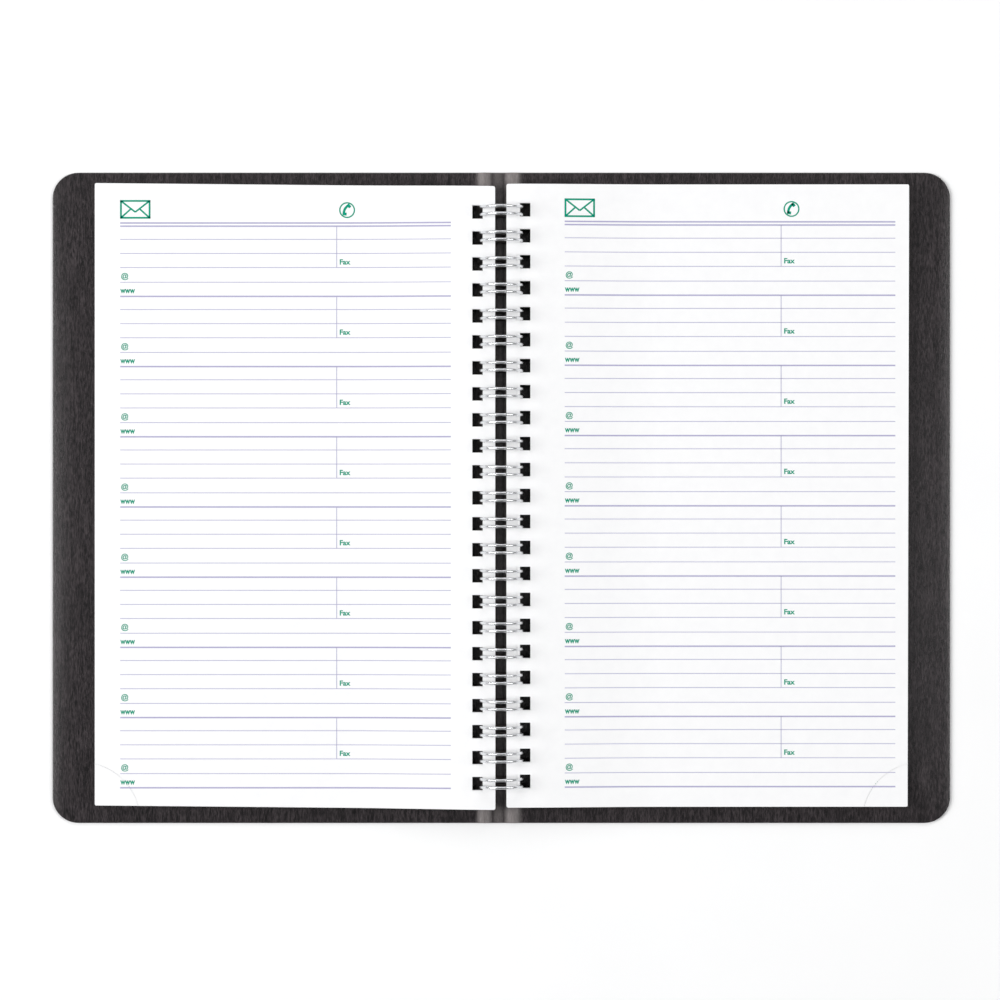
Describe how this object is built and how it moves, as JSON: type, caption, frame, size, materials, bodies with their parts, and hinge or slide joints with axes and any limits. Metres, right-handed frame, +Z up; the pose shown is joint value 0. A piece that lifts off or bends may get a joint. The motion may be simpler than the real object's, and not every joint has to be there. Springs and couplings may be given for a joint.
{
  "type": "wire-bound address book",
  "caption": "Open twin-loop wire-bound telephone and address book with a flexible black wrap-around cover, ruled pages and perforated tear-off corners; covers fold and leaves turn on the wire.",
  "frame": {"origin": "on the table under the middle of the spine, at the centre of the open cover", "axes": "+X to the fore edge of the right page, +Y to the head of the pages, +Z up out of the open pages"},
  "size_m": [0.294, 0.213, 0.0156],
  "materials": {
    "cover_leatherette": "fine-grained black leatherette, satin",
    "binding_wire": "smooth silver-coated steel wire",
    "page_paper": "bright white uncoated writing paper with pale ruled lines",
    "end_board": "stiff white card"
  },
  "bodies": {
    "binding": {"spine_strip": "cover_leatherette", "twin_loop_wire": "binding_wire"},
    "front_cover": {"front_cover": "cover_leatherette"},
    "back_cover": {"back_cover": "cover_leatherette"},
    "front_end_board": {"front_end_board": "end_board"},
    "left_leaf_8": {"left_leaf_8": "page_paper"},
    "left_leaf_7": {"left_leaf_7": "page_paper"},
    "left_leaf_6": {"left_leaf_6": "page_paper"},
    "left_leaf_5": {"left_leaf_5": "page_paper"},
    "left_leaf_4": {"left_leaf_4": "page_paper"},
    "left_leaf_3": {"left_leaf_3": "page_paper"},
    "left_leaf_2": {"left_leaf_2": "page_paper"},
    "left_leaf_1": {"left_leaf_1": "page_paper"},
    "left_corner_tab": {"left_corner_tab": "page_paper"},
    "back_end_board": {"back_end_board": "end_board"},
    "right_leaf_8": {"right_leaf_8": "page_paper"},
    "right_leaf_7": {"right_leaf_7": "page_paper"},
    "right_leaf_6": {"right_leaf_6": "page_paper"},
    "right_leaf_5": {"right_leaf_5": "page_paper"},
    "right_leaf_4": {"right_leaf_4": "page_paper"},
    "right_leaf_3": {"right_leaf_3": "page_paper"},
    "right_leaf_2": {"right_leaf_2": "page_paper"},
    "right_leaf_1": {"right_leaf_1": "page_paper"},
    "right_corner_tab": {"right_corner_tab": "page_paper"}
  },
  "joints": [
    {"name": "front_cover_fold", "type": "hinge", "parent": "binding", "child": "front_cover", "pos_m": [-0.0075, 0, 0.0009], "axis": [0, 1, 0], "range_deg": [0, 90]},
    {"name": "back_cover_fold", "type": "hinge", "parent": "binding", "child": "back_cover", "pos_m": [0.0075, 0, 0.0009], "axis": [0, -1, 0], "range_deg": [0, 90]},
    {"name": "front_end_board_swing", "type": "hinge", "parent": "binding", "child": "front_end_board", "pos_m": [-0.00075, 0, 0.00765], "axis": [0, 1, 0], "range_deg": [0, 90]},
    {"name": "left_leaf_8_swing", "type": "hinge", "parent": "binding", "child": "left_leaf_8", "pos_m": [-0.00075, 0, 0.00765], "axis": [0, 1, 0], "range_deg": [0, 90]},
    {"name": "left_leaf_7_swing", "type": "hinge", "parent": "binding", "child": "left_leaf_7", "pos_m": [-0.00075, 0, 0.00765], "axis": [0, 1, 0], "range_deg": [0, 90]},
    {"name": "left_leaf_6_swing", "type": "hinge", "parent": "binding", "child": "left_leaf_6", "pos_m": [-0.00075, 0, 0.00765], "axis": [0, 1, 0], "range_deg": [0, 90]},
    {"name": "left_leaf_5_swing", "type": "hinge", "parent": "binding", "child": "left_leaf_5", "pos_m": [-0.00075, 0, 0.00765], "axis": [0, 1, 0], "range_deg": [0, 90]},
    {"name": "left_leaf_4_swing", "type": "hinge", "parent": "binding", "child": "left_leaf_4", "pos_m": [-0.00075, 0, 0.00765], "axis": [0, 1, 0], "range_deg": [0, 90]},
    {"name": "left_leaf_3_swing", "type": "hinge", "parent": "binding", "child": "left_leaf_3", "pos_m": [-0.00075, 0, 0.00765], "axis": [0, 1, 0], "range_deg": [0, 90]},
    {"name": "left_leaf_2_swing", "type": "hinge", "parent": "binding", "child": "left_leaf_2", "pos_m": [-0.00075, 0, 0.00765], "axis": [0, 1, 0], "range_deg": [0, 90]},
    {"name": "left_leaf_turn", "type": "hinge", "parent": "left_leaf_2", "child": "left_leaf_1", "pos_m": [0, 0, 0.0084], "axis": [0, -1, 0], "range_deg": [-182.8, 0]},
    {"name": "left_corner_lift", "type": "hinge", "parent": "left_leaf_1", "child": "left_corner_tab", "pos_m": [-0.12354, -0.09198, 0.00502], "axis": [-0.7069, 0.7071, -0.0173], "range_deg": [0, 170]},
    {"name": "back_end_board_swing", "type": "hinge", "parent": "binding", "child": "back_end_board", "pos_m": [0.00075, 0, 0.00765], "axis": [0, -1, 0], "range_deg": [0, 90]},
    {"name": "right_leaf_8_swing", "type": "hinge", "parent": "binding", "child": "right_leaf_8", "pos_m": [0.00075, 0, 0.00765], "axis": [0, -1, 0], "range_deg": [0, 90]},
    {"name": "right_leaf_7_swing", "type": "hinge", "parent": "binding", "child": "right_leaf_7", "pos_m": [0.00075, 0, 0.00765], "axis": [0, -1, 0], "range_deg": [0, 90]},
    {"name": "right_leaf_6_swing", "type": "hinge", "parent": "binding", "child": "right_leaf_6", "pos_m": [0.00075, 0, 0.00765], "axis": [0, -1, 0], "range_deg": [0, 90]},
    {"name": "right_leaf_5_swing", "type": "hinge", "parent": "binding", "child": "right_leaf_5", "pos_m": [0.00075, 0, 0.00765], "axis": [0, -1, 0], "range_deg": [0, 90]},
    {"name": "right_leaf_4_swing", "type": "hinge", "parent": "binding", "child": "right_leaf_4", "pos_m": [0.00075, 0, 0.00765], "axis": [0, -1, 0], "range_deg": [0, 90]},
    {"name": "right_leaf_3_swing", "type": "hinge", "parent": "binding", "child": "right_leaf_3", "pos_m": [0.00075, 0, 0.00765], "axis": [0, -1, 0], "range_deg": [0, 90]},
    {"name": "right_leaf_2_swing", "type": "hinge", "parent": "binding", "child": "right_leaf_2", "pos_m": [0.00075, 0, 0.00765], "axis": [0, -1, 0], "range_deg": [0, 90]},
    {"name": "right_leaf_turn", "type": "hinge", "parent": "right_leaf_2", "child": "right_leaf_1", "pos_m": [0, 0, 0.0084], "axis": [0, 1, 0], "range_deg": [-182.8, 0]},
    {"name": "right_corner_lift", "type": "hinge", "parent": "right_leaf_1", "child": "right_corner_tab", "pos_m": [0.12354, -0.09198, 0.00502], "axis": [-0.7069, -0.7071, 0.0173], "range_deg": [0, 170]}
  ],
  "couplings": [
    {"joint": "front_end_board_swing", "follows": "front_cover_fold", "ratio": 1},
    {"joint": "left_leaf_8_swing", "follows": "front_cover_fold", "ratio": 1},
    {"joint": "left_leaf_7_swing", "follows": "front_cover_fold", "ratio": 1},
    {"joint": "left_leaf_6_swing", "follows": "front_cover_fold", "ratio": 1},
    {"joint": "left_leaf_5_swing", "follows": "front_cover_fold", "ratio": 1},
    {"joint": "left_leaf_4_swing", "follows": "front_cover_fold", "ratio": 1},
    {"joint": "left_leaf_3_swing", "follows": "front_cover_fold", "ratio": 1},
    {"joint": "left_leaf_2_swing", "follows": "front_cover_fold", "ratio": 1},
    {"joint": "back_end_board_swing", "follows": "back_cover_fold", "ratio": 1},
    {"joint": "right_leaf_8_swing", "follows": "back_cover_fold", "ratio": 1},
    {"joint": "right_leaf_7_swing", "follows": "back_cover_fold", "ratio": 1},
    {"joint": "right_leaf_6_swing", "follows": "back_cover_fold", "ratio": 1},
    {"joint": "right_leaf_5_swing", "follows": "back_cover_fold", "ratio": 1},
    {"joint": "right_leaf_4_swing", "follows": "back_cover_fold", "ratio": 1},
    {"joint": "right_leaf_3_swing", "follows": "back_cover_fold", "ratio": 1},
    {"joint": "right_leaf_2_swing", "follows": "back_cover_fold", "ratio": 1}
  ]
}
